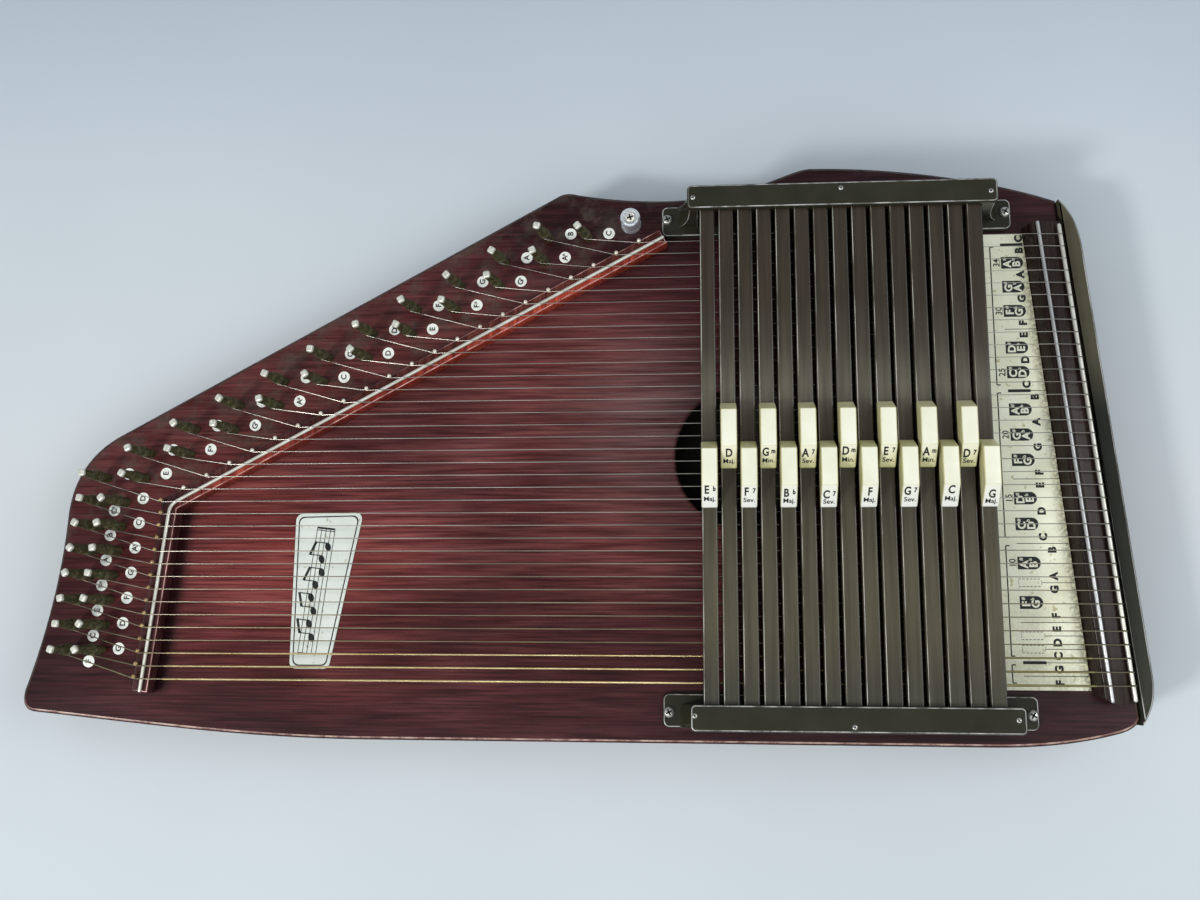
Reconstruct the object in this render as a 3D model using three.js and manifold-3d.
// A fifteen-bar chorded zither with thirty-six strings, lying on its back.
// Millimetres. +X runs along the strings towards the hitch end, +Y towards the treble side, +Z up.
// The origin is below the middle of the instrument, on the surface that its feet stand on.

import * as THREE from 'three';
import { mergeVertices } from 'three/addons/utils/BufferGeometryUtils.js';
import Module from 'manifold-3d';

const wasm = await Module();
wasm.setup();

// ---- driving dimensions ----

const GAP = 0.3;                       // space left between pieces that touch
const FOOT_HEIGHT = 4;
const BODY_DEPTH = 35;
const PLATE = 3;                       // thickness of the soundboard and of the back
const END_COVER_RISE = 3.2;            // of the hitch end's cap, above the soundboard
const BACK = FOOT_HEIGHT;              // underside of the body
const TOP = FOOT_HEIGHT + BODY_DEPTH;  // playing face of the soundboard
const FRAME_LOW = BACK + PLATE + GAP;
const FRAME_HIGH = TOP - PLATE - GAP;

const STRINGS = 36;
const STRING_PITCH = 6.35;
const LOWEST_STRING = -118;            // y of the lowest string
const STRING_HEIGHT = 11.2;            // above the soundboard
const STRING_RADIUS = 0.35;

const PIN_RADIUS = 2.4;
const PIN_RISE = 20;                   // above the soundboard
const PIN_SINK = 17;                   // below the soundboard's face, into the pin block
const PIN_LEAN = 0.23;                 // sideways travel towards -x for each millimetre of rise
const PIN_PITCH = 12.65;               // between rows of pins, in y
const DIAGONAL_PIN_ROWS = 11;
const STRAIGHT_PIN_ROWS = 7;

const BARS = 15;
const BAR_PITCH = 9.34;
const BAR_WIDTH = 7.4;
const FIRST_BAR = 69.9;                // x of the first bar's middle
const BAR_TOP = 26.8;                  // above the soundboard
const BAR_HEIGHT = 7.8;
const BAR_LOW_END = -136.4;
const BAR_HIGH_END = 123;
const BUTTON_LENGTH = 32;
const BUTTON_WIDTH = 7.7;
const BUTTON_HEIGHT = 10.4;
const UPPER_ROW = -0.7;                // y of the middle of each row of buttons
const LOWER_ROW = -19.6;

const HOLDER_LEFT = 60.6;
const HOLDER_RIGHT = 211.3;
const HOLDER_WIDTH = 11.4;
const HOLDER_WALL = 2.2;
const FLANGE_LEFT = 46.6;
const FLANGE_RIGHT = 224.4;
const FLANGE_WIDTH = 16.4;
const FLANGE_THICKNESS = 3.2;
const TREBLE_HOLDER = 120.2;           // y of the middle of each holder
const BASS_HOLDER = -133.7;
const SCREW_INSET = 1.7;               // from the holder's middle line towards the strings
const COVER_THICKNESS = 3.3;

const ROD_RADIUS = 0.9;
const BRIDGE_HEIGHT = 8.4;
const ROD_HEIGHT = BRIDGE_HEIGHT + GAP + ROD_RADIUS;

const SOUND_HOLE = new THREE.Vector2(90.3, -6.2);
const SOUND_HOLE_RADIUS = 37;
const STRAP_BUTTON = new THREE.Vector2(30.6, 117.8);

// Ends of the steel rods that the strings bear on, and of the rod that anchors them.
const TUNING_ROD = [[-213.5, -124.7], [-204.4, -30.5], [48.1, 107.5]];
const ANCHOR_ROD = [[256.4, -125.8], [235.4, 111.4]];
const HITCH_ROD = [[267.3, -125.4], [246.2, 110.2]];

// ---- materials ----

function finish(color, roughness, metalness = 0) {
  return new THREE.MeshStandardMaterial({ color, roughness, metalness });
}

const mahogany = finish(0x55262a, 0.25);
const rawWood = finish(0xa88258, 0.7);
const blackPlastic = finish(0x33342c, 0.4);
const barBrown = finish(0x3d3530, 0.35);
const ivoryPlastic = finish(0xe9e2c2, 0.35);
const steel = finish(0xb9bbbd, 0.3, 1);
const chrome = finish(0xd8dade, 0.1, 1);
const paper = finish(0xdcdcbe, 0.8);
const rubber = finish(0x1c1c1c, 0.85);

// ---- solids ----

const instrument = new THREE.Group();

function addPiece(name, geometry, material) {
  const piece = new THREE.Mesh(geometry, material);
  piece.name = name;
  instrument.add(piece);
}

function toSolid(geometry) {
  const bare = geometry.index ? geometry.toNonIndexed() : geometry.clone();
  bare.deleteAttribute('normal');
  bare.deleteAttribute('uv');
  const merged = mergeVertices(bare, 1e-4);
  const vertProperties = new Float32Array(merged.attributes.position.array);
  const triVerts = new Uint32Array(merged.index.array);
  return new wasm.Manifold(new wasm.Mesh({ numProp: 3, vertProperties, triVerts }));
}

function toGeometry(solid) {
  const mesh = solid.getMesh();
  const geometry = new THREE.BufferGeometry();
  geometry.setAttribute('position', new THREE.BufferAttribute(mesh.vertProperties, 3));
  geometry.setIndex(new THREE.BufferAttribute(mesh.triVerts, 1));
  return geometry;
}

function join(geometries) {
  return geometries.map(toSolid).reduce((whole, solid) => whole.add(solid));
}

function cut(geometry, tools) {
  return tools.map(toSolid).reduce((rest, tool) => rest.subtract(tool), toSolid(geometry));
}

function polygon(points) {
  return new THREE.Shape(points.map(([x, y]) => new THREE.Vector2(x, y)));
}

// A flat outline given thickness between two heights.
function slab(shape, low, high, curveSegments = 12) {
  const options = { depth: high - low, bevelEnabled: false, curveSegments };
  return new THREE.ExtrudeGeometry(shape, options).translate(0, 0, low);
}

function block(left, right, front, rear, low, high) {
  const size = [right - left, rear - front, high - low];
  const middle = [(left + right) / 2, (front + rear) / 2, (low + high) / 2];
  return new THREE.BoxGeometry(...size).translate(...middle);
}

// A straight round bar between two points.
function roundBar(start, end, radius, sides) {
  const from = new THREE.Vector3(...start);
  const along = new THREE.Vector3(...end).sub(from);
  const bar = new THREE.CylinderGeometry(radius, radius, along.length(), sides);
  bar.translate(0, along.length() / 2, 0);
  const up = new THREE.Vector3(0, 1, 0);
  bar.applyQuaternion(new THREE.Quaternion().setFromUnitVectors(up, along.normalize()));
  return bar.translate(...start);
}

// A turned piece about a vertical axis, from its [radius, height] outline.
function turned(profile, x, y, z, sides) {
  const points = profile.map(([radius, height]) => new THREE.Vector2(radius, height));
  return new THREE.LatheGeometry(points, sides).rotateX(Math.PI / 2).translate(x, y, z);
}

function pointAlong([start, end], y) {
  const share = (y - start[1]) / (end[1] - start[1]);
  return start[0] + share * (end[0] - start[0]);
}

// ---- the hollow body ----

// The body's outline seen from above: straight bass side with eased ends, a left end that
// hollows slightly, the long diagonal, a shallow dip, and the treble bulge.
function bodyOutline() {
  const outline = new THREE.Shape();
  outline.moveTo(-273.5, -134.9);
  outline.bezierCurveTo(-215, -140.4, -165, -146.8, -100, -146.9);
  outline.lineTo(205, -147.3);
  outline.bezierCurveTo(228, -147.1, 246, -144.7, 262, -140.3);
  outline.quadraticCurveTo(270.6, -137.8, 271.7, -133);
  outline.lineTo(248, 125.8);
  outline.bezierCurveTo(215, 138.5, 165, 146.8, 124, 146.8);
  outline.bezierCurveTo(112, 146.5, 95, 131.5, 50, 130.9);
  outline.bezierCurveTo(35, 130.9, 18, 132.4, 2, 135.6);
  outline.quadraticCurveTo(-3.5, 137.2, -7.5, 135.2);
  outline.lineTo(-238.8, 7.4);
  outline.bezierCurveTo(-249.5, 1.5, -262.5, -10.5, -263.8, -33.6);
  outline.bezierCurveTo(-264.5, -62, -269, -92, -278.8, -124);
  outline.quadraticCurveTo(-280.6, -133.6, -273.5, -134.9);
  return outline;
}

// The hollow inside the frame.
const cavity = {
  bassLeft: [-206, -121],
  bend: [-199, -26],
  diagonalEnd: [44, 106.6],
  trebleLeft: [44, 109],
  trebleRight: [225, 109],
  bassRight: [242.5, -121],
};

// Ground that each frame member covers; the body's outline and the cavity trim it.
const frameZones = {
  bass_rail: [[-300, -160], [300, -160], [300, -121 - GAP / 2], [-300, -121 - GAP / 2]],
  pin_block: [[-300, -121 + GAP / 2], [44 - GAP / 2, -121 + GAP / 2], [44 - GAP / 2, 160], [-300, 160]],
  treble_rail: [[44 + GAP / 2, 100], [225 - GAP / 2, 100], [225 - GAP / 2, 160], [44 + GAP / 2, 160]],
  anchor_block: [[225 + GAP / 2, -121 + GAP / 2], [300, -121 + GAP / 2], [300, 160], [225 + GAP / 2, 160]],
};

const holderScrews = [
  [49.6, TREBLE_HOLDER - SCREW_INSET],
  [221.2, TREBLE_HOLDER - SCREW_INSET],
  [49.6, BASS_HOLDER + SCREW_INSET],
  [221.2, BASS_HOLDER + SCREW_INSET],
];
const SCREW_HOLE_RADIUS = 2;
const SCREW_DEPTH = 18;                // below the soundboard's face

// Tuning pins in string order, from the highest string down: an inner and an outer pin by turns,
// first down the diagonal and then down the left end. Each place is that of the pin's top.
function tuningPins() {
  const pins = [];
  for (let row = 0; row < DIAGONAL_PIN_ROWS; row += 1) {
    pins.push([3.8 - 23.1 * row, 111 - PIN_PITCH * row]);
    pins.push([-17.1 - 23.1 * row, 111.4 - PIN_PITCH * row]);
  }
  for (let row = 0; row < STRAIGHT_PIN_ROWS; row += 1) {
    pins.push([-237 - 1.2 * row, -28 - PIN_PITCH * row]);
    pins.push([-248.3 - 1.4 * row, -28 - PIN_PITCH * row]);
  }
  return pins;
}

function pinShaft([x, y], radius, rise, sink, sides) {
  const high = [x + PIN_LEAN * (PIN_RISE - rise), y, TOP + rise];
  const low = [x + PIN_LEAN * (PIN_RISE + sink), y, TOP - sink];
  return roundBar(low, high, radius, sides);
}

const PIN_HOLE_RADIUS = 3.3;

function pinHoles() {
  return tuningPins().map((pin) => pinShaft(pin, PIN_HOLE_RADIUS, 2, PIN_SINK + 1, 6));
}

function screwHoles() {
  const places = [...holderScrews, [STRAP_BUTTON.x, STRAP_BUTTON.y]];
  return places.map(([x, y]) => {
    const low = [x, y, TOP - SCREW_DEPTH - 1];
    return roundBar(low, [x, y, TOP + 1], SCREW_HOLE_RADIUS, 8);
  });
}

function addBody() {
  const board = bodyOutline();
  const hole = new THREE.Path().absarc(SOUND_HOLE.x, SOUND_HOLE.y, SOUND_HOLE_RADIUS, 0, 2 * Math.PI);
  board.holes.push(hole);
  const holes = [...pinHoles(), ...screwHoles()];
  const soundboard = cut(slab(board, TOP - PLATE, TOP, 14), holes);
  addPiece('soundboard', toGeometry(soundboard), mahogany);
  addPiece('back_plate', slab(bodyOutline(), BACK, BACK + PLATE, 14), mahogany);

  const frame = cut(slab(bodyOutline(), FRAME_LOW, FRAME_HIGH, 14),
    [slab(polygon(Object.values(cavity)), FRAME_LOW - 1, FRAME_HIGH + 1), ...holes]);
  for (const [name, zone] of Object.entries(frameZones)) {
    const member = frame.intersect(toSolid(slab(polygon(zone), FRAME_LOW - 1, FRAME_HIGH + 1)));
    addPiece(name, toGeometry(member), mahogany);
  }
}

// Two braces stand between the bass rail and the opposite side, on either side of the sound hole.
function addBraces() {
  const low = -121 + GAP;
  const wide = 5;
  const slant = (cavity.diagonalEnd[1] - cavity.bend[1]) / (cavity.diagonalEnd[0] - cavity.bend[0]);
  const diagonalAt = (x) => cavity.bend[1] + slant * (x - cavity.bend[0]) - GAP / Math.cos(Math.atan(slant));
  const left = -60;
  const leftBrace = polygon([[left - wide, low], [left + wide, low],
    [left + wide, diagonalAt(left + wide)], [left - wide, diagonalAt(left - wide)]]);
  addPiece('left_brace', slab(leftBrace, FRAME_LOW, FRAME_HIGH), rawWood);
  const right = 165;
  const rightBrace = block(right - wide, right + wide, low, 109 - GAP, FRAME_LOW, FRAME_HIGH);
  addPiece('right_brace', rightBrace, rawWood);
}

function addFeet() {
  const places = { left_front: [-235, -118], left_rear: [-40, 88], right_front: [238, -122], right_rear: [218, 118] };
  const profile = [[0, 0], [6, 0], [7, 1.2], [7, FOOT_HEIGHT - GAP], [0, FOOT_HEIGHT - GAP]];
  for (const [place, [x, y]] of Object.entries(places)) {
    addPiece(`${place}_foot`, turned(profile, x, y, 0, 16), rubber);
  }
}

// The moulded cap over the hitch end: a shell, open towards the wood.
function addEndCover() {
  const wall = 2.5;
  const lowEdge = BACK + 4;
  const highEdge = TOP + END_COVER_RISE;
  const outline = new THREE.Shape();
  outline.moveTo(248.4, 125.3);
  outline.bezierCurveTo(254.4, 119.6, 257.6, 111, 258.8, 100);
  outline.lineTo(277.8, -113);
  outline.bezierCurveTo(278.6, -122.5, 276.8, -129.8, 271.7, -136.2);
  outline.lineTo(272.1, -133.2);
  const hollow = new THREE.Shape();
  hollow.moveTo(245, 119);
  hollow.lineTo(251.6, 116);
  hollow.quadraticCurveTo(255.2, 110, 256.2, 100);
  hollow.lineTo(275.2, -113);
  hollow.quadraticCurveTo(275.6, -120, 273.4, -127);
  hollow.lineTo(266, -129);
  const cap = cut(slab(outline, lowEdge, highEdge, 10), [slab(hollow, lowEdge + wall, highEdge - wall, 6)]);
  addPiece('end_cover', toGeometry(cap), blackPlastic);
}

// ---- bridges, rods and strings ----

// A strip that follows a line, between two sideways distances from it, mitred at its bends.
function stripShape(line, toLeft, toRight) {
  const offset = (distance) => line.map((point, index) => {
    const before = new THREE.Vector2(...line[Math.max(index - 1, 0)]);
    const here = new THREE.Vector2(...point);
    const after = new THREE.Vector2(...line[Math.min(index + 1, line.length - 1)]);
    const incoming = index > 0 ? here.clone().sub(before) : after.clone().sub(here);
    const outgoing = index < line.length - 1 ? after.clone().sub(here) : incoming.clone();
    const normals = [incoming, outgoing].map((way) => new THREE.Vector2(way.y, -way.x).normalize());
    const mitre = normals[0].clone().add(normals[1]).normalize();
    return here.addScaledVector(mitre, distance / mitre.dot(normals[0])).toArray();
  });
  return polygon([...offset(toRight), ...offset(-toLeft).reverse()]);
}

function addBridges() {
  const tuningStrip = stripShape(TUNING_ROD, 5.1, 3.5);
  addPiece('tuning_bridge', slab(tuningStrip, TOP + GAP, TOP + BRIDGE_HEIGHT), mahogany);
  const joints = TUNING_ROD.map(([x, y]) => [x, y, TOP + ROD_HEIGHT]);
  const knee = new THREE.SphereGeometry(ROD_RADIUS, 12, 6).translate(...joints[1]);
  const bentRod = join([
    roundBar(joints[0], joints[1], ROD_RADIUS, 12),
    roundBar(joints[1], joints[2], ROD_RADIUS, 12),
    knee,
  ]);
  addPiece('tuning_bridge_rod', toGeometry(bentRod), steel);

  // The anchor bridge slopes up on its string side and falls away towards the hitch rod. Its low
  // end passes the rod's, and has its string-side corner cut off.
  const base = polygon([[251, -121.2], [257.2, -127], [269.1, -127.2], [248, 112.4], [230.4, 111.2]]);
  const lean = ANCHOR_ROD[1][0] - ANCHOR_ROD[0][0];
  const angle = Math.atan2(-lean, ANCHOR_ROD[1][1] - ANCHOR_ROD[0][1]);
  const section = polygon([[-6, -1], [-6, 0], [-2.6, BRIDGE_HEIGHT], [2.4, BRIDGE_HEIGHT],
    [13.5, 5.6], [13.5, -1]]);
  const wedge = new THREE.ExtrudeGeometry(section, { depth: 260, bevelEnabled: false });
  wedge.rotateX(Math.PI / 2).translate(0, 250, 0).rotateZ(angle);
  wedge.translate(ANCHOR_ROD[0][0], ANCHOR_ROD[0][1], TOP);
  const bridge = toSolid(slab(base, TOP + GAP, TOP + 10)).intersect(toSolid(wedge));
  addPiece('anchor_bridge', toGeometry(bridge), mahogany);
  const ends = ANCHOR_ROD.map(([x, y]) => [x, y, TOP + ROD_HEIGHT]);
  addPiece('anchor_bridge_rod', roundBar(ends[0], ends[1], ROD_RADIUS, 12), steel);
}

// A path that turns only at its given points.
class WirePath extends THREE.Curve {
  constructor(points) {
    super();
    this.points = points.map((point) => new THREE.Vector3(...point));
  }

  getPointAt(share) {
    return this.points[Math.round(share * (this.points.length - 1))].clone();
  }

  getTangentAt(share) {
    const last = this.points.length - 1;
    const index = Math.round(share * last);
    const before = this.points[Math.max(index - 1, 0)];
    const after = this.points[Math.min(index + 1, last)];
    return after.clone().sub(before).normalize();
  }
}

function wire(points, radius, sides) {
  const section = polygon(Array.from({ length: sides }, (_, side) => {
    const turn = 2 * Math.PI * side / sides;
    return [radius * Math.cos(turn), radius * Math.sin(turn)];
  }));
  const options = { steps: points.length - 1, extrudePath: new WirePath(points), bevelEnabled: false };
  return new THREE.ExtrudeGeometry(section, options);
}

const COIL_RISE = 7;                   // where a string leaves its pin, above the soundboard
const GUIDE_RISE = 10;                 // where it passes its guide nail
const GUIDE_SETBACK = 7;               // from the tuning rod to the guide nails, along the diagonal
const HITCH_RISE = 8.2;

function stringPoints(index, pin) {
  const y = LOWEST_STRING + STRING_PITCH * index;
  const knee = TUNING_ROD[1][1];
  const onDiagonal = y > knee;
  const rod = onDiagonal ? TUNING_ROD.slice(1) : TUNING_ROD.slice(0, 2);
  const rodX = pointAlong(rod, y);
  const guideX = rodX - (onDiagonal ? GUIDE_SETBACK : GUIDE_SETBACK / 2);
  const anchorX = pointAlong(ANCHOR_ROD, y);
  const hitchX = pointAlong(HITCH_ROD, y);
  const pinX = pin[0] + PIN_LEAN * (PIN_RISE - COIL_RISE);
  return [
    [pinX, pin[1], TOP + COIL_RISE],
    [guideX, y, TOP + GUIDE_RISE],
    [rodX, y, TOP + STRING_HEIGHT],
    [anchorX, y, TOP + STRING_HEIGHT],
    [hitchX, y, TOP + HITCH_RISE],
  ];
}

// All the steel that is under tension: the hitch rod, the strings and the pins they wind onto.
function addStrings() {
  const hitchEnds = HITCH_ROD.map(([x, y]) => [x, y, TOP + HITCH_RISE]);
  const pieces = [roundBar(hitchEnds[0], hitchEnds[1], ROD_RADIUS, 8)];
  const pins = tuningPins();
  for (let index = 0; index < STRINGS; index += 1) {
    const pin = pins[STRINGS - 1 - index];
    pieces.push(wire(stringPoints(index, pin), STRING_RADIUS, 5));
    pieces.push(pinShaft(pin, PIN_RADIUS, PIN_RISE, PIN_SINK, 6));
  }
  addPiece('strings_and_tuning_pins', toGeometry(join(pieces)), steel);
}

// ---- chord bars ----

function barX(index) {
  return FIRST_BAR + BAR_PITCH * index;
}

function addChordBars() {
  const high = TOP + BAR_TOP;
  // The button's outline seen from the side: a long sloping label face, a flat top, a steeper rear.
  const half = BUTTON_LENGTH / 2;
  const side = polygon([[-half, 0], [-half, 2], [-half + 9.5, BUTTON_HEIGHT],
    [half - 4.8, BUTTON_HEIGHT], [half, 1.2], [half, 0]]);
  const cap = new THREE.ExtrudeGeometry(side, { depth: BUTTON_WIDTH, bevelEnabled: false });
  cap.translate(0, 0, -BUTTON_WIDTH / 2).rotateX(Math.PI / 2).rotateZ(Math.PI / 2);
  for (let index = 0; index < BARS; index += 1) {
    const x = barX(index);
    const number = String(index + 1).padStart(2, '0');
    const bar = block(x - BAR_WIDTH / 2, x + BAR_WIDTH / 2, BAR_LOW_END, BAR_HIGH_END,
      high - BAR_HEIGHT, high);
    addPiece(`chord_bar_${number}`, bar, barBrown);
    const row = index % 2 === 0 ? LOWER_ROW : UPPER_ROW;
    addPiece(`chord_button_${number}`, cap.clone().translate(x, row, high + GAP), ivoryPlastic);
  }
}

// ---- bar holders ----

// A holder is a moulded channel on a flange: an outer wall, two end walls and a comb whose teeth
// stand between the bars. Outward is +1 on the treble side and -1 on the bass side.
function addHolder(side, middle, outward, screws) {
  const low = TOP + GAP;
  const floor = low + FLANGE_THICKNESS;
  const high = TOP + BAR_TOP - GAP;
  const inner = middle - outward * HOLDER_WIDTH / 2;
  const outer = middle + outward * HOLDER_WIDTH / 2;
  const flangeInner = middle - outward * (FLANGE_WIDTH - HOLDER_WIDTH / 2);
  const acrossBlock = (left, right, first, second, bottom, top) => (
    block(left, right, Math.min(first, second), Math.max(first, second), bottom, top));

  const corner = 4;
  const flange = new THREE.Shape();
  const flangeLow = Math.min(flangeInner, outer);
  const flangeHigh = Math.max(flangeInner, outer);
  flange.moveTo(FLANGE_LEFT + corner, flangeLow);
  flange.lineTo(FLANGE_RIGHT - corner, flangeLow);
  flange.quadraticCurveTo(FLANGE_RIGHT, flangeLow, FLANGE_RIGHT, flangeLow + corner);
  flange.lineTo(FLANGE_RIGHT, flangeHigh - corner);
  flange.quadraticCurveTo(FLANGE_RIGHT, flangeHigh, FLANGE_RIGHT - corner, flangeHigh);
  flange.lineTo(FLANGE_LEFT + corner, flangeHigh);
  flange.quadraticCurveTo(FLANGE_LEFT, flangeHigh, FLANGE_LEFT, flangeHigh - corner);
  flange.lineTo(FLANGE_LEFT, flangeLow + corner);
  flange.quadraticCurveTo(FLANGE_LEFT, flangeLow, FLANGE_LEFT + corner, flangeLow);

  // An end wall is upright inside and sweeps out to the flange's screw on the outside.
  const endWall = (face, tip, foot) => {
    const wall = new THREE.Shape();
    wall.moveTo(face, floor - 1);
    wall.lineTo(face, high);
    wall.lineTo(tip, high);
    wall.quadraticCurveTo(tip, floor + 3, foot, floor - 1);
    const options = { depth: HOLDER_WIDTH, bevelEnabled: false, curveSegments: 4 };
    return new THREE.ExtrudeGeometry(wall, options).rotateX(Math.PI / 2)
      .translate(0, Math.max(inner, outer), 0);
  };
  const sweep = 7;
  const walls = [
    acrossBlock(HOLDER_LEFT, HOLDER_RIGHT, outer, outer - outward * HOLDER_WALL, floor - 1, high),
    endWall(barX(0) - BAR_WIDTH / 2 - 0.4, HOLDER_LEFT, HOLDER_LEFT - sweep),
    endWall(barX(BARS - 1) + BAR_WIDTH / 2 + 0.4, HOLDER_RIGHT, HOLDER_RIGHT + sweep),
  ];
  const tooth = 1.2;
  for (let index = 1; index < BARS; index += 1) {
    const x = barX(index) - BAR_PITCH / 2;
    walls.push(acrossBlock(x - tooth / 2, x + tooth / 2, outer - 1 * outward, inner, floor - 1, high));
  }
  const holder = join([slab(flange, low, floor, 4), ...walls]);
  const holes = screws.map(([x, y]) => (
    roundBar([x, y, low - 1], [x, y, floor + 1], SCREW_HOLE_RADIUS, 8)));
  const drilled = holes.map(toSolid).reduce((rest, hole) => rest.subtract(hole), holder);
  addPiece(`${side}_holder`, toGeometry(drilled), blackPlastic);

  const coverLow = TOP + BAR_TOP + GAP;
  const cover = new THREE.Shape();
  const lip = 0.5;
  const left = HOLDER_LEFT - lip;
  const right = HOLDER_RIGHT + lip;
  const front = Math.min(inner, outer) - lip;
  const rear = Math.max(inner, outer) + lip;
  const round = 2.5;
  cover.moveTo(left + round, front);
  cover.lineTo(right - round, front);
  cover.quadraticCurveTo(right, front, right, front + round);
  cover.lineTo(right, rear - round);
  cover.quadraticCurveTo(right, rear, right - round, rear);
  cover.lineTo(left + round, rear);
  cover.quadraticCurveTo(left, rear, left, rear - round);
  cover.lineTo(left, front + round);
  cover.quadraticCurveTo(left, front, left + round, front);
  addPiece(`${side}_holder_cover`, slab(cover, coverLow, coverLow + COVER_THICKNESS, 4), blackPlastic);

  const head = [[0, 0], [SCREW_HOLE_RADIUS - 0.4, 0], [SCREW_HOLE_RADIUS - 0.4, SCREW_DEPTH],
    [3, SCREW_DEPTH], [3, SCREW_DEPTH + 0.9], [1.8, SCREW_DEPTH + 1.8], [0, SCREW_DEPTH + 1.8]];
  const rise = FLANGE_THICKNESS + 2 * GAP;
  const shank = head.map(([radius, height]) => [radius, height > 0 ? height + rise : 0]);
  screws.forEach(([x, y], index) => {
    const end = index === 0 ? 'left' : 'right';
    addPiece(`${side}_holder_${end}_screw`, turned(shank, x, y, TOP - SCREW_DEPTH, 12), steel);
  });
}

// ---- paper and trim on the soundboard ----

const PAPER_THICKNESS = 0.4;

function addPaper() {
  const low = TOP + GAP;
  const chart = polygon([[207, 108], [230, 108], [249.9, -120.4], [207, -120.4]]);
  addPiece('string_chart', slab(chart, low, low + PAPER_THICKNESS), paper);
  const label = new THREE.Shape();
  label.moveTo(-137, -112.6);
  label.lineTo(-124, -112.6);
  label.quadraticCurveTo(-120.9, -112.6, -120.2, -109.5);
  label.lineTo(-106.6, -37);
  label.quadraticCurveTo(-106.2, -34, -109.2, -33.8);
  label.lineTo(-137.8, -34.5);
  label.quadraticCurveTo(-141, -34.5, -141.1, -37.5);
  label.lineTo(-140.7, -109);
  label.quadraticCurveTo(-140.7, -112.4, -137, -112.6);
  addPiece('name_label', slab(label, low, low + PAPER_THICKNESS, 4), paper);
}

function addStrapButton() {
  const boreRadius = 2;
  const recess = 9.4;
  const button = [[boreRadius, 0], [5.3, 0], [5.3, 1.2], [4.3, 2.4], [4.1, 7], [5.3, 8.8], [5.3, 10.6],
    [4.6, 11.4], [3.4, 11.4], [3.2, recess], [boreRadius, recess], [boreRadius, 0]];
  const { x, y } = STRAP_BUTTON;
  addPiece('strap_button', turned(button, x, y, TOP + GAP, 24), chrome);
  const shank = SCREW_DEPTH + recess + 2 * GAP;
  const screw = [[0, 0], [1.6, 0], [1.6, shank], [2.7, shank], [2.7, shank + 0.8],
    [1.6, shank + 1.7], [0, shank + 1.7]];
  addPiece('strap_button_screw', turned(screw, x, y, TOP - SCREW_DEPTH, 12), steel);
}

addBody();
addBraces();
addFeet();
addEndCover();
addBridges();
addStrings();
addChordBars();
addHolder('treble', TREBLE_HOLDER, 1, holderScrews.slice(0, 2));
addHolder('bass', BASS_HOLDER, -1, holderScrews.slice(2));
addPaper();
addStrapButton();

export default instrument;
